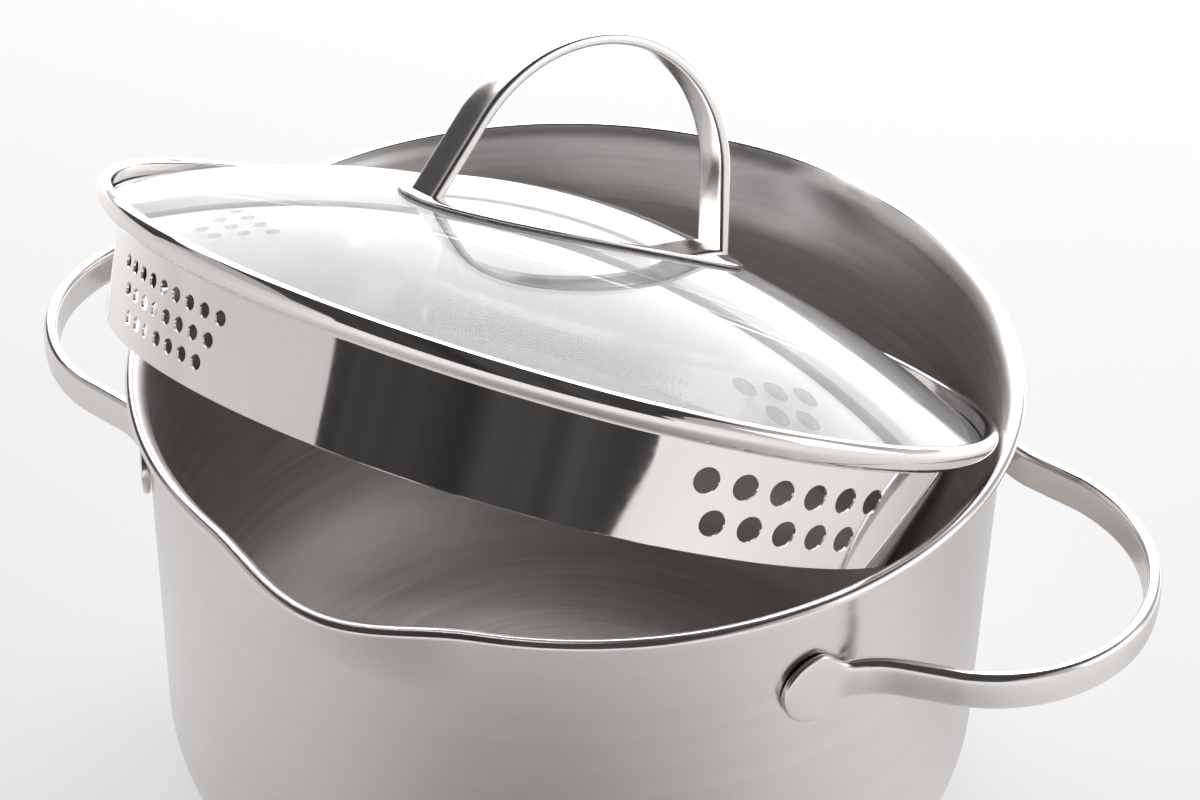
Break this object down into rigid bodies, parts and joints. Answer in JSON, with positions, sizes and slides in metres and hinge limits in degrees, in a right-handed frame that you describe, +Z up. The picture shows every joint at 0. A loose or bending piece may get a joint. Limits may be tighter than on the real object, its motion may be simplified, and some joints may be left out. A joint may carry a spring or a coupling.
{
  "type": "soup pot with strainer lid",
  "caption": "Stainless steel soup pot with loop handles and pouring lips, its glass strainer lid with an arch handle lying askew in the mouth.",
  "frame": {"origin": "centre of the base's underside, on the pot's axis", "axes": "+X out through the right loop handle, +Y through the far pouring lip, +Z up along the pot's axis"},
  "size_m": [0.3448, 0.2606, 0.249],
  "materials": {
    "satin_steel": "satin",
    "polished_steel": "mirror polished stainless steel",
    "aluminium_core": "plain, hidden",
    "clear_glass": "polished",
    "grey_silicone": "matt"
  },
  "bodies": {
    "pot": {"pot_body": "satin_steel", "base_core_disc": "aluminium_core", "base_cap": "satin_steel", "pot_handle_right": "polished_steel", "pot_handle_left": "polished_steel"},
    "lid": {"lid_band": "polished_steel", "lid_glass": "clear_glass", "lid_handle_plate": "polished_steel", "lid_handle": "polished_steel", "lid_stud_left": "polished_steel", "lid_stud_right": "polished_steel", "lid_gasket_upper_left": "grey_silicone", "lid_gasket_upper_right": "grey_silicone", "lid_gasket_lower_left": "grey_silicone", "lid_gasket_lower_right": "grey_silicone", "lid_washer_left": "polished_steel", "lid_washer_right": "polished_steel", "lid_screw_left": "polished_steel", "lid_screw_right": "polished_steel"}
  },
  "joints": [
    {"name": "lid_lift", "type": "slide", "parent": "pot", "child": "lid", "axis": [0, 0, 1], "range_m": [0, 0.15]}
  ]
}
